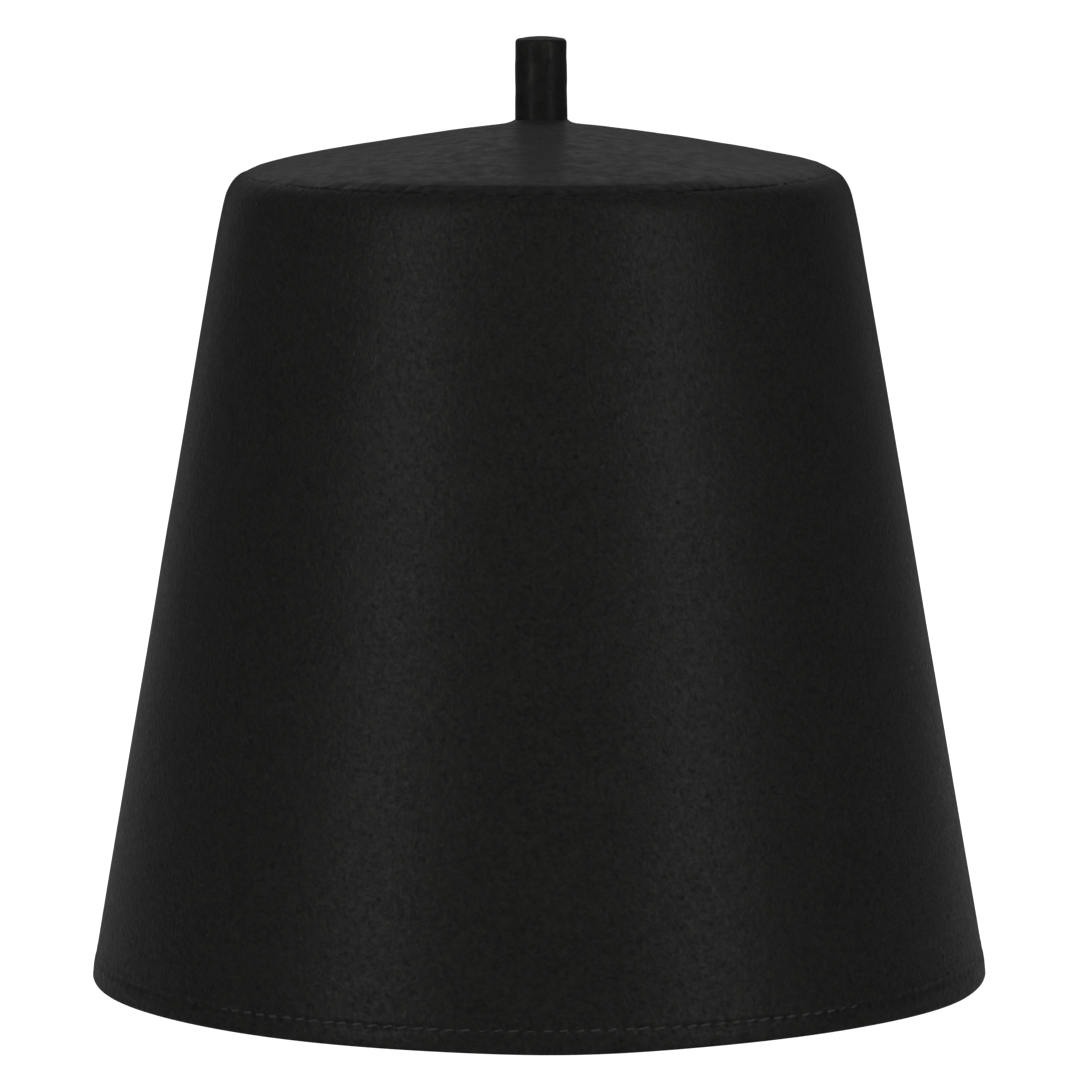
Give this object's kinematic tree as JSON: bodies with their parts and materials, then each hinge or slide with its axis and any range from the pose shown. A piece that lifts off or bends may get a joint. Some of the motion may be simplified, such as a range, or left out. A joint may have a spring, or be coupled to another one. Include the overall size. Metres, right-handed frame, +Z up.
{
  "type": "fez",
  "caption": "Tall tapered felt fez standing on its rim: hollow side wall with a stitched hem, shallow domed crown and a short felt stalk, no tassel.",
  "frame": {"origin": "middle of the rim, on the surface that the hat stands on", "axes": "+Z up along the hat's axis, -Y towards the front of the hat, +X to the viewer's right"},
  "size_m": [0.1898, 0.1898, 0.1985],
  "materials": {
    "wall_felt": "matt black wool felt",
    "crown_felt": "matt black wool felt",
    "stalk_felt": "matt black wool felt, rolled",
    "thread": "black sewing thread with a slight lustre"
  },
  "bodies": {
    "root": {"side_wall": "wall_felt", "crown_top": "crown_felt", "stalk": "stalk_felt"}
  },
  "joints": []
}
